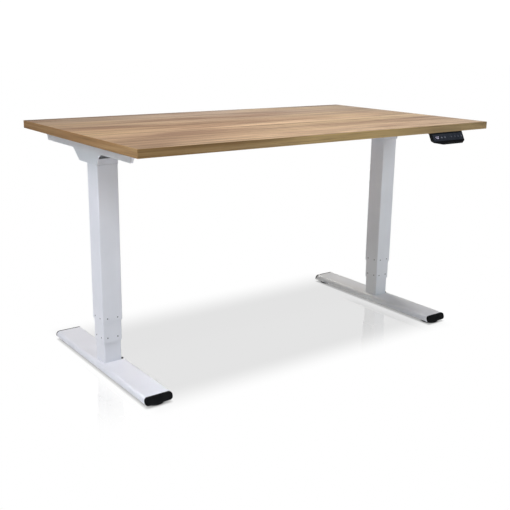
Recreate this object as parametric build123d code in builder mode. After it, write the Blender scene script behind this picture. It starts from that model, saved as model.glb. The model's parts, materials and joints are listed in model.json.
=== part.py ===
from build123d import *
from math import cos, radians, sin
import os

os.makedirs("parts", exist_ok=True)

# Electric sit-stand desk: a laminated top on two three-stage lifting columns.
# Origin on the floor at the middle of the footprint, +X to the user's right, -Y towards
# the user, +Z up. Millimetres. Drawn at its everyday height; it lifts and lowers from there.

# ---------------------------------------------------------------- driving sizes
top_length, top_depth, top_thickness = 1400.0, 800.0, 25.0
desk_height = 770.0             # top surface over the floor
laminate = 0.8                  # wear sheet and balance sheet
band = 2.0                      # edge band thickness
band_round = 1.0

column_spacing = 1208.0         # centre to centre
frame_set_back = 10.0           # columns stand this far behind the middle of the top
column_width = 70.0             # outer tube, square
outer_length = 500.0
tube_wall = 1.5
tube_corner = 4.0
bush_thickness = 0.7
slide_gap = 0.3                 # bush to the tube that it runs on
bush_length = 30.0
bush_inset = 3.0                # bush end to tube end
peg_radius = 2.3                # bush pegs that show in the tube faces
peg_spread = 17.5
outer_peg_rise, middle_peg_rise = 10.5, 16.0    # pegs over each tube's lower end
peg_gap = 0.05

foot_length = 634.0             # its tube, along the top
foot_width, foot_height = 92.0, 24.0
foot_round = 10.0
foot_rake = 7.0                 # its ends lean out by this much towards the floor
foot_wall = 2.0
cap_thickness = 6.0
cap_round = 1.0
cap_plug = 12.0
cap_root = 5.0                  # of the plug, inside the cap
cap_wall = 2.0
cap_gap = 0.2

glide_radius = 31.0
glide_height = 8.0
glide_rim = 3.0
glide_crown = 6.8               # height of the dome between rim and hub
glide_hub_radius = 11.0
glide_chamfer = 1.5
glide_inset = 22.5              # glide centre to the tube's end, on top
stud_radius = 4.0
stud_length = 17.0
insert_radius = 5.5
insert_height = 11.0
insert_flange_radius = 8.0
insert_flange = 1.2
thread_gap = 0.1

foot_gap = 3.0                  # middle tube over the foot, lowered
rim_gap = 6.0                   # outer tube's end over the middle tube's end, lowered
head_gap = 15.0                 # middle tube's top under the column's top plate, lowered
nut_gap = 4.0                   # inner nut under the middle nut, lowered
plate_thickness = 6.0
plate_gap = 0.1
head_bore = 10.0                # where the drive screw enters the column
base_screw_spread = 18.0

sheet = 3.0                     # side bracket steel
web_overhang = 2.0              # bracket's web stands this far outside the column
bracket_height = 74.0
arm_height = 37.0
front_reach, rear_reach = 272.0, 349.0      # from the column's centre, at the top
end_slope = 18.0                # how far an arm's end leans back over its height
gusset_reach = 83.0
gusset_slope = 45.0
gusset_round = 18.0
throat_slope = 16.0
throat_round = 44.0
end_tab = 9.0                   # folded in at the ends of both arms
bracket_flange = 30.0
floor_flange = 15.0
lip_height = 19.0
bend_round = 2.5
wing_reach = 122.0              # ears of the bracket's inner wall, bolted to the beam

gearbox_gap = 1.0
gearbox_base = 8.0
gearbox_radius = 25.0
gearbox_height = 48.0
gearbox_round = 3.0
head_screw_spread = 22.0
motor_radius = 23.0
motor_length = 105.0
motor_rise = 26.0               # motor axis over the bracket's floor
motor_gap = 1.5
motor_boss = (8.0, 6.0)         # radius and length of the bearing cap

rail_width, rail_height = 20.0, 30.0
rail_wall = 1.5
rail_spread = 45.0
rail_length = 300.0
rail_drop = 12.0                # rails under the top
rail_gap = 0.3
rail_flange_height = 46.0
flange_screw_spread = (104.0, 12.0)
sleeve_length = 700.0
lock_inset = 30.0               # locking screw to the sleeve's end
tie_width = 30.0
tie_spread = 210.0

drive_radius = 6.0              # drive screw in each column
driver_flat = 14.6              # across the flats of its hexagonal foot
driver_length = 20.0
drive_seat = 20.0               # screw inside the gearbox
spindle_radius = 12.0
spindle_flat = 15.0             # across the flats of its bore
collar_radius, collar_height = 16.0, 8.0
collar_gap = 0.3
cup_wall = 4.0
cup_lip = 5.0
nut_radius = 17.0
nut_height = 30.0
end_gap = 5.0                   # screw ends over what lies below, lowered

control_length, control_depth, control_height = 220.0, 110.0, 38.0
control_place = (150.0, 160.0)  # from the middle of the frame
control_wall = 2.0
control_round = 6.0
control_ear = 14.0
port_size = (12.0, 9.0)
port_pitch = 24.0
inlet_size = (24.0, 17.0)
socket_depth = 10.0
board_thickness = 1.6
board_drop = 8.0                # circuit board under the mounting plate

handset_inset = 214.5           # its middle to the top's right end
handset_width = 158.0
handset_reach = 31.0            # ahead of the top's front edge
handset_drop = 36.5
handset_depth = 57.0            # front lip to rear edge
handset_rear_drop = 18.0
handset_nose = 1.5
handset_slab = 10.7             # depth of its straight ends, behind the face
handset_taper = 1.5             # drawn in by this much per mm behind them
face_length = 32.0
face_lean = 27.0                # degrees off the vertical
lip_width = 98.0                # straight middle part of the front lip
handset_lip = 3.5
lip_round = 6.0
tab_width = 16.0
tab_spread = 57.0
panel_margin = 3.5
panel_ledge = 1.5
panel_thickness = 1.5
cavity_depth = 5.6
window_size = (24.0, 13.0)
window_place = (-56.5, 16.0)    # from the middle of the face's top edge
arrow_key, arrow_key_round = 13.0, 4.0
round_key = 5.0
key_gap = 0.25
key_travel = 0.8
key_proud = 0.6
key_flange = 0.8
key_shoulder = 0.5              # flange beyond the key's outline
key_slack = 0.15
plunger_radius = 1.5
switch_board = 1.0
key_places = {                  # from the middle of the face's top edge
    "up_key": (-33.5, 16.0), "down_key": (-16.5, 16.0),
    "memory_key_one": (17.0, 16.0), "memory_key_two": (34.0, 16.0),
    "memory_key_three": (51.0, 16.0), "store_key": (68.0, 16.0),
}

# screws: shank radius, head radius, head height, socket radius, socket depth
wood_screw = (2.4, 4.8, 2.6, 2.0, 1.4)
frame_screw = (3.0, 5.0, 4.0, 2.5, 2.2)
button_screw = (2.5, 4.5, 2.2, 1.5, 1.2)
wood_screw_bite = 15.0
button_screw_length = 8.0
screw_gap = 0.3
tool_gap = 2.0

# ---------------------------------------------------------------- derived sizes and levels
top_y = handset_reach / 2
front_edge = top_y - top_depth / 2
frame_y = top_y + frame_set_back
column_x = column_spacing / 2
underside = desk_height - top_thickness
core_bottom = underside + laminate
column_top = underside - bracket_height
foot_top = glide_height + foot_height

stage_step = tube_wall + bush_thickness + slide_gap
middle_width = column_width - 2 * stage_step
inner_width = middle_width - 2 * stage_step

outer_bottom = column_top - outer_length
lowering = outer_bottom - foot_top - foot_gap - rim_gap     # travel down to the lowest height
middle_bottom = foot_top + foot_gap + lowering / 2
middle_length = outer_length + rim_gap - plate_thickness - head_gap
middle_top = middle_bottom + middle_length
pocket_height = collar_height + 2 * collar_gap
cup_height = plate_thickness + pocket_height + cup_lip
cup_radius = collar_radius + collar_gap + cup_wall
inner_length = foot_gap + middle_length - cup_height - nut_gap
inner_top = foot_top + inner_length
spindle_top = middle_top - plate_thickness - collar_gap
spindle_bottom = foot_top + plate_thickness + end_gap + lowering / 2
drive_bottom = spindle_bottom + lowering / 2 + end_gap

floor_top = column_top + sheet          # bracket's floor, over the column
motor_z = floor_top + motor_rise
gearbox_width = column_width - 2 * sheet - 2 * gearbox_gap
outer_face = column_x + column_width / 2 + web_overhang
inner_face = column_x - column_width / 2
screw_seat = underside - sheet          # wood screw heads hang below this
tap_radius = frame_screw[0] + peg_gap
pass_radius = frame_screw[0] + screw_gap
pilot_radius = wood_screw[0] + peg_gap
wood_pass_radius = wood_screw[0] + screw_gap

rail_top = underside - rail_drop
rail_z = rail_top - rail_height / 2
sleeve_width = rail_width + 2 * (rail_gap + rail_wall)
sleeve_height = rail_height + 2 * (rail_gap + rail_wall)
sleeve_bottom = rail_z - sleeve_height / 2
lock_x = sleeve_length / 2 - lock_inset

sides = (("left", -1), ("right", 1))
both_columns = (-column_x, column_x)


# ---------------------------------------------------------------- planes and repeated features
def level(z, x=0.0, y=0.0):
    return Plane(origin=(x, y, z))


def facing_right(x, y=0.0, z=0.0):      # sketch's x runs along +Y, its y along +Z
    return Plane(origin=(x, y, z), x_dir=(0, 1, 0), z_dir=(1, 0, 0))


def facing_front(y, x=0.0, z=0.0):      # sketch's x runs along +X, its y along +Z
    return Plane(origin=(x, y, z), x_dir=(1, 0, 0), z_dir=(0, -1, 0))


def on_columns(z, columns):             # one level over each column named
    return [level(z, x, frame_y) for x in columns]


def corner_spots(half_x, half_y):
    return [(i * half_x, j * half_y) for i in (-1, 1) for j in (-1, 1)]


def cut_holes(planes, spots, radius, depth):
    with BuildSketch(*planes) as holes:
        with Locations(*spots):
            Circle(radius)
    extrude(holes.sketch, amount=depth, mode=Mode.SUBTRACT)


def add_screws(planes, spots, screw, length, up=1):     # up=-1: heads below their seat
    shank_radius, head_radius, head_height, socket_radius, socket_depth = screw
    with BuildSketch(*planes) as heads:
        with Locations(*spots):
            Circle(head_radius)
    extrude(heads.sketch, amount=up * head_height)
    with BuildSketch(*planes) as shanks:
        with Locations(*spots):
            Circle(shank_radius)
    extrude(shanks.sketch, amount=-up * length)
    with BuildSketch(*[plane.offset(up * head_height) for plane in planes]) as sockets:
        with Locations(*spots):
            RegularPolygon(socket_radius, 6)
    extrude(sockets.sketch, amount=-up * socket_depth, mode=Mode.SUBTRACT)


def save(builder, name):
    builder.part.label = name
    export_step(builder.part, f"parts/{name}.step")


# ---------------------------------------------------------------- where the wood screws go
control_x, control_y = control_place[0], frame_y + control_place[1]
control_spots = [(control_x + u, control_y + v)
                 for u, v in corner_spots((control_length + control_ear) / 2, control_depth / 3)]
handset_x = top_length / 2 - handset_inset
handset_rear = front_edge - handset_reach + handset_depth
handset_spots = [(handset_x + i * tab_spread, handset_rear + tab_width / 2) for i in (-1, 1)]


def bracket_spots(side):
    reaches = (end_slope - front_reach, -front_reach / 3, rear_reach * 0.42, rear_reach - end_slope)
    return [(side * (outer_face - bracket_flange * 0.6), frame_y + reach) for reach in reaches]


wood_spots = bracket_spots(-1) + bracket_spots(1) + control_spots + handset_spots

# ---------------------------------------------------------------- desktop
core_length, core_depth = top_length - 2 * band, top_depth - 2 * band

with BuildPart() as desktop_core:
    with BuildSketch(level(core_bottom, 0, top_y)):
        Rectangle(core_length, core_depth)
    extrude(amount=top_thickness - 2 * laminate)
    cut_holes([level(core_bottom)], wood_spots, pilot_radius, wood_screw_bite)
save(desktop_core, "desktop_core")

with BuildPart() as desktop_laminate:
    with BuildSketch(level(desk_height, 0, top_y)):
        Rectangle(core_length, core_depth)
    extrude(amount=-laminate)
save(desktop_laminate, "desktop_laminate")

with BuildPart() as desktop_backing:
    with BuildSketch(level(underside, 0, top_y)):
        Rectangle(core_length, core_depth)
    extrude(amount=laminate)
    cut_holes([level(underside)], wood_spots, pilot_radius, laminate)
save(desktop_backing, "desktop_backing")

for name, side in (("front", -1), ("rear", 1)):
    with BuildPart() as long_band:
        with BuildSketch(level(underside, 0, top_y + side * (top_depth - band) / 2)):
            Rectangle(top_length, band)
        extrude(amount=top_thickness)
        shown = long_band.faces().sort_by(Axis.Y)[0 if side < 0 else -1]
        fillet(shown.edges() + long_band.edges().filter_by(Axis.Y), band_round)
    save(long_band, f"edge_band_{name}")

for name, side in sides:
    with BuildPart() as short_band:
        with BuildSketch(level(underside, side * (top_length - band) / 2, top_y)):
            Rectangle(band, core_depth)
        extrude(amount=top_thickness)
        shown = short_band.faces().sort_by(Axis.X)[0 if side < 0 else -1]
        fillet(shown.edges().filter_by(Axis.Y), band_round)
    save(short_band, f"edge_band_{name}")

with BuildPart() as desktop_screws:
    add_screws([level(screw_seat)], wood_spots, wood_screw, sheet + laminate + wood_screw_bite, up=-1)
save(desktop_screws, "desktop_screws")


# ---------------------------------------------------------------- column tubes and bushes
def tube_bore(width):
    return width - 2 * tube_wall


def peg_planes(columns, z):
    return [plane(*place) for x in columns for plane, place in
            ((facing_right, (x, frame_y, z)), (facing_front, (frame_y, x, z)))]


def cross_pegs(columns, z, radius, reach, mode):        # through both pairs of walls
    with BuildSketch(*peg_planes(columns, z)) as pegs:
        with GridLocations(2 * peg_spread, 0, 2, 1):
            Circle(radius)
    extrude(pegs.sketch, amount=reach, both=True, mode=mode)


def add_tube(columns, low, length, width, peg_rise=None):
    with BuildSketch(*on_columns(low, columns)) as wall:
        RectangleRounded(width, width, tube_corner)
        offset(amount=-tube_wall, mode=Mode.SUBTRACT)
    extrude(wall.sketch, amount=length)
    if peg_rise:
        cross_pegs(columns, low + peg_rise, peg_radius + peg_gap, width, Mode.SUBTRACT)


def add_lower_bush(columns, low, width, peg_rise):      # lining of a tube's lower end
    bore, corner = tube_bore(width), tube_corner - tube_wall
    cross_pegs(columns, low + peg_rise, peg_radius, width / 2, Mode.ADD)
    with BuildSketch(*on_columns(low + bush_inset, columns)) as lining:
        RectangleRounded(bore, bore, corner)
    extrude(lining.sketch, amount=bush_length)
    with BuildSketch(*on_columns(low + bush_inset, columns)) as passage:
        RectangleRounded(bore, bore, corner)
        offset(amount=-bush_thickness)
    extrude(passage.sketch, amount=bush_length, mode=Mode.SUBTRACT)


def add_upper_bush(columns, top, width):                # sleeve round a tube's upper end
    with BuildSketch(*on_columns(top - bush_inset, columns)) as sleeve:
        RectangleRounded(width, width, tube_corner)
        offset(amount=bush_thickness)
        RectangleRounded(width, width, tube_corner, mode=Mode.SUBTRACT)
    extrude(sleeve.sketch, amount=-bush_length)


def add_end_plate(columns, top, width, bore=None, spread=None):    # welded into a tube's end
    across = tube_bore(width) - 2 * plate_gap
    with BuildSketch(*on_columns(top, columns)) as plate:
        RectangleRounded(across, across, tube_corner - tube_wall)
        if bore:
            Circle(bore, mode=Mode.SUBTRACT)
        if spread:
            with GridLocations(2 * spread, 2 * spread, 2, 2):
                Circle(tap_radius, mode=Mode.SUBTRACT)
    extrude(plate.sketch, amount=-plate_thickness)


for name, side in sides:
    column = [side * column_x]
    with BuildPart() as outer_tube:
        add_tube(column, outer_bottom, outer_length, column_width, outer_peg_rise)
    save(outer_tube, f"{name}_outer_tube")

    with BuildPart() as middle_tube:
        add_tube(column, middle_bottom, middle_length, middle_width, middle_peg_rise)
    save(middle_tube, f"{name}_middle_tube")

    with BuildPart() as inner_tube:
        add_tube(column, foot_top, inner_length, inner_width)
    save(inner_tube, f"{name}_inner_tube")

with BuildPart() as outer_bushes:
    add_lower_bush(both_columns, outer_bottom, column_width, outer_peg_rise)
save(outer_bushes, "outer_bushes")

for name, side in sides:
    column = [side * column_x]
    with BuildPart() as middle_bushes:
        add_lower_bush(column, middle_bottom, middle_width, middle_peg_rise)
        add_upper_bush(column, middle_top, middle_width)
    save(middle_bushes, f"{name}_middle_bushes")

with BuildPart() as inner_bushes:
    add_upper_bush(both_columns, inner_top, inner_width)
save(inner_bushes, "inner_bushes")

with BuildPart() as column_top_plates:
    add_end_plate(both_columns, column_top, column_width, head_bore, head_screw_spread)
save(column_top_plates, "column_top_plates")

with BuildPart() as column_base_plates:
    add_end_plate(both_columns, foot_top + plate_thickness, inner_width, None, base_screw_spread)
save(column_base_plates, "column_base_plates")


# ---------------------------------------------------------------- screws and nuts in the columns
def add_ring(columns, top, outside, inside, height):
    with BuildSketch(*on_columns(top, columns)) as ring:
        Circle(outside)
        Circle(inside, mode=Mode.SUBTRACT)
    extrude(ring.sketch, amount=-height)


def add_hexagon(columns, low, flats, height, mode=Mode.ADD):
    with BuildSketch(*on_columns(low, columns)) as hexagon:
        RegularPolygon(flats / 2, 6, major_radius=False)
    extrude(hexagon.sketch, amount=height, mode=mode)


with BuildPart() as inner_nuts:         # carried by the inner tubes, run on the spindles
    add_end_plate(both_columns, inner_top, inner_width, nut_radius - cup_wall)
    add_ring(both_columns, inner_top, nut_radius, spindle_radius + thread_gap, nut_height)
save(inner_nuts, "inner_nuts")

for name, side in sides:
    column = [side * column_x]
    with BuildPart() as middle_nut:     # runs on the drive screw and carries the spindle's collar
        pocket_top = middle_top - plate_thickness
        add_end_plate(column, middle_top, middle_width, drive_radius + thread_gap)
        add_ring(column, pocket_top, cup_radius, collar_radius + collar_gap, pocket_height)
        add_ring(column, pocket_top - pocket_height, cup_radius, spindle_radius + collar_gap, cup_lip)
    save(middle_nut, f"{name}_middle_nut")

    with BuildPart() as spindle:        # hollow screw, turned through its hexagonal bore
        spindle_length = spindle_top - spindle_bottom
        with BuildSketch(*on_columns(spindle_bottom, column)):
            Circle(spindle_radius)
        extrude(amount=spindle_length)
        with BuildSketch(*on_columns(spindle_top, column)):
            Circle(collar_radius)
        extrude(amount=-collar_height)
        add_hexagon(column, spindle_bottom, spindle_flat, spindle_length, Mode.SUBTRACT)
    save(spindle, f"{name}_spindle")

    with BuildPart() as drive_screw:    # hangs from the gearbox, its hexagonal foot in the spindle
        with BuildSketch(*on_columns(drive_bottom, column)):
            Circle(drive_radius)
        extrude(amount=floor_top + drive_seat - drive_bottom)
        add_hexagon(column, drive_bottom, driver_flat, driver_length)
    save(drive_screw, f"{name}_drive_screw")

# ---------------------------------------------------------------- feet
foot_z = glide_height + foot_height / 2
foot_reach = foot_length / 2
cap_reach = foot_reach + foot_rake + cap_thickness
glide_reach = foot_reach - glide_inset
glide_spots = [(0, -glide_reach), (0, glide_reach)]
base_spots = corner_spots(base_screw_spread, base_screw_spread)
button_reach = inner_width / 2 + button_screw[1] + screw_gap
button_spots = [(button_reach, -button_reach / 1.6), (button_reach, button_reach / 1.6)]


def side_view(reach):                   # of a foot, cut off at this reach along its top
    low, half = reach + foot_rake, foot_height / 2
    return [(-reach, half), (reach, half), (low, -half), (-low, -half)]


for name, side in sides:
    column = [side * column_x]
    with BuildPart() as foot:
        with BuildSketch(facing_front(frame_y + cap_reach, side * column_x, foot_z)):
            RectangleRounded(foot_width, foot_height, foot_round)
            offset(amount=-foot_wall, mode=Mode.SUBTRACT)
        extrude(amount=2 * cap_reach)
        with BuildSketch(facing_right(side * column_x, frame_y, foot_z)):
            Polygon(*side_view(foot_reach), align=None)
        extrude(amount=foot_width, both=True, mode=Mode.INTERSECT)
        upper_wall = on_columns(foot_top - foot_wall, column)
        lower_wall = on_columns(glide_height, column)
        cut_holes(upper_wall, base_spots, pass_radius, foot_wall)
        cut_holes(upper_wall, button_spots, button_screw[0] + peg_gap, foot_wall)
        cut_holes(lower_wall, base_spots, frame_screw[1] + tool_gap, foot_wall)
        cut_holes(lower_wall, glide_spots, insert_radius + peg_gap, foot_wall)
    save(foot, f"{name}_foot")

with BuildPart() as foot_caps:
    with BuildSketch(*[facing_front(frame_y + cap_reach, x, foot_z) for x in both_columns]):
        RectangleRounded(foot_width, foot_height, foot_round)
    extrude(amount=2 * cap_reach)
    with BuildSketch(facing_right(0, frame_y, foot_z)):
        Polygon(*side_view(foot_reach + cap_thickness), align=None)
        Polygon(*side_view(foot_reach), align=None, mode=Mode.SUBTRACT)
    extrude(amount=top_length / 2, both=True, mode=Mode.INTERSECT)
    leaning = foot_caps.faces().filter_by(lambda face: abs(face.normal_at().Y) > 0.9).sort_by(Axis.Y)
    fillet((leaning[:2] + leaning[-2:]).edges(), cap_round)
    plug_planes = [Plane(origin=(x, frame_y + end * (foot_reach + cap_root), foot_z),
                         x_dir=(1, 0, 0), z_dir=(0, end, 0)) for x in both_columns for end in (-1, 1)]
    with BuildSketch(*plug_planes):     # plug that grips inside the tube
        RectangleRounded(foot_width, foot_height, foot_round)
        offset(amount=-foot_wall - cap_gap)
        offset(amount=-cap_wall, mode=Mode.SUBTRACT)
        with GridLocations(foot_width / 4, 0, 3, 1):
            Rectangle(cap_wall, foot_height - 2 * foot_wall - 2 * cap_gap)
    extrude(amount=-cap_root - cap_plug)
save(foot_caps, "foot_caps")

with BuildPart() as glide_inserts:      # rivet nuts in the feet's lower walls
    with BuildSketch(*on_columns(glide_height, both_columns)):
        with Locations(*glide_spots):
            Circle(insert_radius)
    extrude(amount=insert_height)
    with BuildSketch(*on_columns(glide_height + foot_wall, both_columns)):
        with Locations(*glide_spots):
            Circle(insert_flange_radius)
    extrude(amount=insert_flange)
    cut_holes(on_columns(glide_height, both_columns), glide_spots, stud_radius + thread_gap, insert_height)
save(glide_inserts, "glide_inserts")

for name, side in sides:
    for end_name, end in (("front", -1), ("rear", 1)):
        x, y = side * column_x, frame_y + end * glide_reach
        with BuildPart() as glide:
            with BuildSketch(facing_front(y, x)):
                with BuildLine():
                    foot_edge = (glide_radius - glide_chamfer, 0)
                    rim, hub = (glide_radius, glide_rim), (glide_hub_radius, glide_height)
                    Polyline((0, 0), foot_edge, (glide_radius, glide_chamfer), rim)
                    ThreePointArc(rim, ((glide_radius + glide_hub_radius) / 2, glide_crown), hub)
                    Polyline(hub, (stud_radius, glide_height), (stud_radius, glide_height + stud_length),
                             (0, glide_height + stud_length), (0, 0))
                make_face()
            revolve(axis=Axis((x, y, 0), (0, 0, 1)))
        save(glide, f"{name}_{end_name}_glide")

with BuildPart() as base_screws:        # four up into each column, two in the top of each foot
    for name, side in sides:
        column = [side * column_x]
        add_screws(on_columns(foot_top - foot_wall, column), base_spots, frame_screw,
                   foot_wall + plate_thickness, up=-1)
        add_screws(on_columns(foot_top, column), button_spots, button_screw, button_screw_length)
save(base_screws, "base_screws")

# ---------------------------------------------------------------- side brackets
half_column = column_width / 2
bracket_width = column_width + web_overhang
flange_bottom = rail_z - rail_flange_height / 2
motor_hole = motor_radius + motor_gap
flange_spots = [(u, rail_z + v) for u, v in corner_spots(*flange_screw_spread)]
head_spots = corner_spots(head_screw_spread, head_screw_spread)

for name, side in sides:
    with BuildPart() as bracket:
        with BuildSketch(facing_right(side * outer_face, frame_y, underside)) as web:
            with BuildLine():
                Polyline((rear_reach, 0), (rear_reach - end_slope, -arm_height),
                         (gusset_reach + gusset_slope, -arm_height), (gusset_reach, -bracket_height),
                         (-half_column, -bracket_height), (-half_column - throat_slope, -arm_height),
                         (end_slope - front_reach, -arm_height), (-front_reach, 0), close=True)
            make_face()
            front_throat, rear_throat = web.vertices().group_by(Axis.Y)[1].sort_by(Axis.X)[1:3]
            fillet(front_throat, throat_round)
            fillet(rear_throat, gusset_round)
        extrude(amount=-side * sheet)
        flange_x = side * (outer_face - bracket_flange / 2)
        with BuildSketch(level(underside, flange_x, frame_y + (rear_reach - front_reach) / 2)):
            Rectangle(bracket_flange, rear_reach + front_reach)
        extrude(amount=-sheet)
        floor_middle = level(column_top, side * (column_x + web_overhang / 2), frame_y)
        with BuildSketch(floor_middle):                                        # floor on the column
            Rectangle(bracket_width, column_width)
            with Locations((side * (bracket_width - floor_flange) / 2, gusset_reach / 2)):
                Rectangle(floor_flange, gusset_reach)
        extrude(amount=sheet)
        with BuildSketch(floor_middle):                                        # upturned lips
            with GridLocations(0, column_width - sheet, 1, 2):
                Rectangle(bracket_width, sheet)
        extrude(amount=lip_height)
        with BuildSketch(facing_right(side * inner_face, frame_y)):            # wall behind the beam
            with Locations((0, (column_top + flange_bottom + rail_flange_height) / 2)):
                Rectangle(column_width, flange_bottom + rail_flange_height - column_top)
            with Locations((0, rail_z)):
                Rectangle(2 * wing_reach, rail_flange_height)
            with Locations((0, motor_z)):
                Circle(motor_hole, mode=Mode.SUBTRACT)
            with Locations(*flange_spots):
                Circle(pass_radius, mode=Mode.SUBTRACT)
        extrude(amount=side * sheet)
        cut_holes(on_columns(column_top, [side * column_x]), head_spots, pass_radius, sheet)
        cut_holes(on_columns(column_top, [side * column_x]), [(0, 0)], head_bore, sheet)
        cut_holes([level(screw_seat)], bracket_spots(side), wood_pass_radius, sheet)
        with BuildSketch(facing_right(side * outer_face, frame_y, underside)):  # folded arm ends
            for reach, inward in ((-front_reach, 1), (rear_reach, -1)):
                foot = reach + inward * end_slope
                with BuildLine():
                    Polyline((reach, 0), (foot, -arm_height), (foot + inward * sheet, -arm_height),
                             (reach + inward * sheet, 0), close=True)
                make_face()
        extrude(amount=-side * end_tab)
        rim = bracket.faces().sort_by(Axis.X)[0 if side < 0 else -1].edges()
        bends = rim.filter_by(Axis.Y).group_by(Axis.Z)
        floor_front = bracket.edges().filter_by(Axis.X).group_by(Axis.Z)[0].sort_by(Axis.Y)[:1]
        fillet(rim.sort_by(Axis.Y)[:1] + rim.sort_by(Axis.Y)[-1:] + bends[0] + bends[-1] + floor_front,
               bend_round)
    save(bracket, f"{name}_side_bracket")

# ---------------------------------------------------------------- gearboxes and motors
for name, side in sides:
    x = side * column_x
    motor_face = side * (column_x - gearbox_width / 2)
    with BuildPart() as gearbox:
        with BuildSketch(level(floor_top, x, frame_y)):
            Circle(gearbox_radius)
        extrude(amount=gearbox_height)
        fillet(gearbox.faces().sort_by(Axis.Z)[-1].edges(), gearbox_round)
        with BuildSketch(level(floor_top, x, frame_y)):
            RectangleRounded(gearbox_width, gearbox_width, tube_corner)
        extrude(amount=gearbox_base)
        with BuildSketch(facing_right(x, frame_y, motor_z)):           # boss towards the motor
            Circle(motor_radius - motor_gap)
        extrude(amount=motor_face - x)
        cut_holes(on_columns(floor_top, [x]), [(0, 0)], drive_radius + peg_gap, drive_seat + collar_gap)
        cut_holes(on_columns(floor_top, [x]), head_spots, pass_radius, gearbox_base)
    save(gearbox, f"{name}_gearbox")

    motor_end = motor_face - side * motor_length
    with BuildPart() as motor:
        with BuildSketch(facing_right(motor_face, frame_y, motor_z)):
            Circle(motor_radius)
        extrude(amount=-side * motor_length)
        fillet(motor.faces().sort_by(Axis.X)[-1 if side < 0 else 0].edges(), motor_gap)
        with BuildSketch(facing_right(motor_end, frame_y, motor_z)):
            Circle(motor_boss[0])
        extrude(amount=-side * motor_boss[1])
    save(motor, f"{name}_motor")

with BuildPart() as head_screws:        # through gearbox and bracket into the column's top plate
    add_screws(on_columns(floor_top + gearbox_base, both_columns), head_spots, frame_screw,
               gearbox_base + sheet + plate_thickness)
save(head_screws, "head_screws")

# ---------------------------------------------------------------- crossbeam
rail_spots = [(-rail_spread, rail_z), (rail_spread, rail_z)]
lock_spots = [(i * lock_x, j * rail_spread) for i in (-1, 1) for j in (-1, 1)]

for name, side in sides:
    with BuildPart() as beam_arm:
        with BuildSketch(facing_right(side * inner_face, frame_y)):
            with Locations((0, rail_z)):
                Rectangle(2 * wing_reach, rail_flange_height)
            with Locations((0, motor_z)):
                Circle(motor_hole, mode=Mode.SUBTRACT)
            with Locations(*flange_spots):
                Circle(tap_radius, mode=Mode.SUBTRACT)
        extrude(amount=-side * sheet)
        with BuildSketch(facing_right(side * (inner_face - sheet), frame_y)):
            with Locations(*rail_spots):
                Rectangle(rail_width, rail_height)
            with Locations(*rail_spots):
                Rectangle(rail_width - 2 * rail_wall, rail_height - 2 * rail_wall, mode=Mode.SUBTRACT)
        extrude(amount=-side * rail_length)
        cut_holes([level(rail_top - rail_height, side * lock_x, frame_y)],
                  [(0, -rail_spread), (0, rail_spread)], tap_radius, rail_wall)
    save(beam_arm, f"{name}_beam_arm")

with BuildPart() as beam_sleeve:        # both rails slide into it when the frame is set up
    with BuildSketch(facing_right(-sleeve_length / 2, frame_y)):
        with Locations(*rail_spots):
            Rectangle(sleeve_width, sleeve_height)
        with Locations(*rail_spots):
            Rectangle(sleeve_width - 2 * rail_wall, sleeve_height - 2 * rail_wall, mode=Mode.SUBTRACT)
    extrude(amount=sleeve_length)
    with BuildSketch(level(sleeve_bottom, 0, frame_y)):
        with GridLocations(2 * tie_spread, 0, 2, 1):
            Rectangle(tie_width, 2 * rail_spread - sleeve_width)
    extrude(amount=sheet)
    cut_holes([level(sleeve_bottom, 0, frame_y)], lock_spots, tap_radius, rail_wall)
save(beam_sleeve, "beam_sleeve")

with BuildPart() as beam_screws:
    add_screws([level(sleeve_bottom, 0, frame_y)], lock_spots, frame_screw, 2 * rail_wall + rail_gap, up=-1)
    for name, side in sides:
        add_screws([facing_right(side * (inner_face + sheet), frame_y)], flange_spots, frame_screw,
                   2 * sheet, up=side)
save(beam_screws, "beam_screws")

# ---------------------------------------------------------------- control box
case_top = underside - sheet
case_z = case_top - control_height / 2
board_top = case_top - board_drop

with BuildPart() as control_plate:
    with BuildSketch(level(underside, control_x, control_y)):
        RectangleRounded(control_length + 2 * control_ear, control_depth, control_round)
    extrude(amount=-sheet)
    cut_holes([level(screw_seat)], control_spots, wood_pass_radius, sheet)
save(control_plate, "control_plate")

with BuildPart() as control_case:       # lead sockets at one end, mains inlet at the other
    with BuildSketch(level(case_top, control_x, control_y)):
        RectangleRounded(control_length, control_depth, control_round)
    extrude(amount=-control_height)
    fillet(control_case.faces().sort_by(Axis.Z)[0].edges(), control_wall)
    with BuildSketch(level(case_top, control_x, control_y)):
        RectangleRounded(control_length, control_depth, control_round)
        offset(amount=-control_wall)
    extrude(amount=control_wall - control_height, mode=Mode.SUBTRACT)
    with BuildSketch(facing_right(control_x - control_length / 2, control_y, case_z)):
        with GridLocations(port_pitch, 0, 3, 1):
            Rectangle(*port_size)
    extrude(amount=control_wall, mode=Mode.SUBTRACT)
    with BuildSketch(facing_right(control_x + control_length / 2, control_y, case_z)):
        Rectangle(*inlet_size)
    extrude(amount=-control_wall, mode=Mode.SUBTRACT)
save(control_case, "control_case")

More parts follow.
